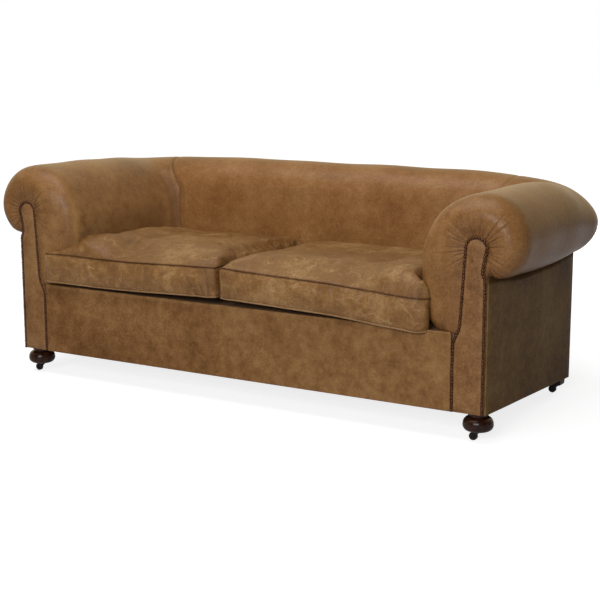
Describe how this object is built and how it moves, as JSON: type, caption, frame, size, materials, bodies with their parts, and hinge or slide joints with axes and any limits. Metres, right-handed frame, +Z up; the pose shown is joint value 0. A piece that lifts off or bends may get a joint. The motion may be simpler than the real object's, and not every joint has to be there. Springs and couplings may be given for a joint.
{
  "type": "club sofa",
  "caption": "Leather club sofa with rolled arms and back, loose piped seat cushions, nailed arm facings, turned bun feet and swivel castors.",
  "frame": {"origin": "on the floor under the middle of the sofa's overall box", "axes": "+X to the sitter's left hand side, which is right in the picture; -Y is the front; +Z up"},
  "size_m": [1.948, 0.842, 0.722],
  "materials": {
    "hide": "aged tan hide, waxed",
    "stuffing": "hair and wadding",
    "webbing": "woven jute",
    "dust_cloth": "black cloth",
    "frame_timber": "sawn beech",
    "foot_wood": "dark polished mahogany",
    "leg_wood": "black stained",
    "nail_brass": "antiqued",
    "castor_metal": "blackened",
    "castor_wheel": "hard moulded wheel"
  },
  "bodies": {
    "sofa": {"front_seat_rail": "frame_timber", "rear_seat_rail": "frame_timber", "left_seat_rail": "frame_timber", "right_seat_rail": "frame_timber", "centre_seat_stay": "frame_timber", "corner_blocks": "frame_timber", "left_arm_stump": "frame_timber", "right_arm_stump": "frame_timber", "left_arm_rail": "frame_timber", "right_arm_rail": "frame_timber", "left_back_post": "frame_timber", "right_back_post": "frame_timber", "back_top_rail": "frame_timber", "back_upright": "frame_timber", "left_arm_tacking_rail": "frame_timber", "right_arm_tacking_rail": "frame_timber", "back_tacking_rail": "frame_timber", "seat_webbing": "webbing", "seat_cloth": "webbing", "left_arm_pad": "stuffing", "right_arm_pad": "stuffing", "back_pad": "stuffing", "platform_pad": "stuffing", "left_arm_cover": "hide", "right_arm_cover": "hide", "back_cover": "hide", "left_outside_panel": "hide", "right_outside_panel": "hide", "outside_back_panel": "hide", "front_border": "hide", "left_facing": "hide", "right_facing": "hide", "platform_cover": "hide", "facing_nails": "nail_brass", "dust_cover": "dust_cloth", "front_left_bun_foot": "foot_wood", "front_right_bun_foot": "foot_wood", "rear_left_leg": "leg_wood", "rear_right_leg": "leg_wood", "castor_plates": "castor_metal"},
    "left_cushion": {"left_cushion_cover": "hide", "left_cushion_core": "stuffing", "left_cushion_piping": "hide"},
    "right_cushion": {"right_cushion_cover": "hide", "right_cushion_core": "stuffing", "right_cushion_piping": "hide"},
    "front_left_swivel": {"front_left_castor_horn": "castor_metal", "front_left_castor_axle": "castor_metal"},
    "front_left_wheel": {"front_left_castor_wheel": "castor_wheel"},
    "front_right_swivel": {"front_right_castor_horn": "castor_metal", "front_right_castor_axle": "castor_metal"},
    "front_right_wheel": {"front_right_castor_wheel": "castor_wheel"},
    "rear_left_swivel": {"rear_left_castor_horn": "castor_metal", "rear_left_castor_axle": "castor_metal"},
    "rear_left_wheel": {"rear_left_castor_wheel": "castor_wheel"},
    "rear_right_swivel": {"rear_right_castor_horn": "castor_metal", "rear_right_castor_axle": "castor_metal"},
    "rear_right_wheel": {"rear_right_castor_wheel": "castor_wheel"}
  },
  "joints": [
    {"name": "left_cushion_lift", "type": "slide", "parent": "sofa", "child": "left_cushion", "axis": [0, 0, 1], "range_m": [0, 0.36]},
    {"name": "right_cushion_lift", "type": "slide", "parent": "sofa", "child": "right_cushion", "axis": [0, 0, 1], "range_m": [0, 0.36]},
    {"name": "front_left_castor_swivel", "type": "hinge", "parent": "sofa", "child": "front_left_swivel", "pos_m": [-0.832, -0.345, 0.0315], "axis": [0, 0, 1], "continuous": true},
    {"name": "front_left_castor_roll", "type": "hinge", "parent": "front_left_swivel", "child": "front_left_wheel", "pos_m": [-0.846, -0.345, 0.0125], "axis": [0, 1, 0], "continuous": true},
    {"name": "front_right_castor_swivel", "type": "hinge", "parent": "sofa", "child": "front_right_swivel", "pos_m": [0.832, -0.345, 0.0315], "axis": [0, 0, 1], "continuous": true},
    {"name": "front_right_castor_roll", "type": "hinge", "parent": "front_right_swivel", "child": "front_right_wheel", "pos_m": [0.818, -0.345, 0.0125], "axis": [0, 1, 0], "continuous": true},
    {"name": "rear_left_castor_swivel", "type": "hinge", "parent": "sofa", "child": "rear_left_swivel", "pos_m": [-0.84, 0.285, 0.0315], "axis": [0, 0, 1], "continuous": true},
    {"name": "rear_left_castor_roll", "type": "hinge", "parent": "rear_left_swivel", "child": "rear_left_wheel", "pos_m": [-0.854, 0.285, 0.0125], "axis": [0, 1, 0], "continuous": true},
    {"name": "rear_right_castor_swivel", "type": "hinge", "parent": "sofa", "child": "rear_right_swivel", "pos_m": [0.84, 0.285, 0.0315], "axis": [0, 0, 1], "continuous": true},
    {"name": "rear_right_castor_roll", "type": "hinge", "parent": "rear_right_swivel", "child": "rear_right_wheel", "pos_m": [0.826, 0.285, 0.0125], "axis": [0, 1, 0], "continuous": true}
  ]
}
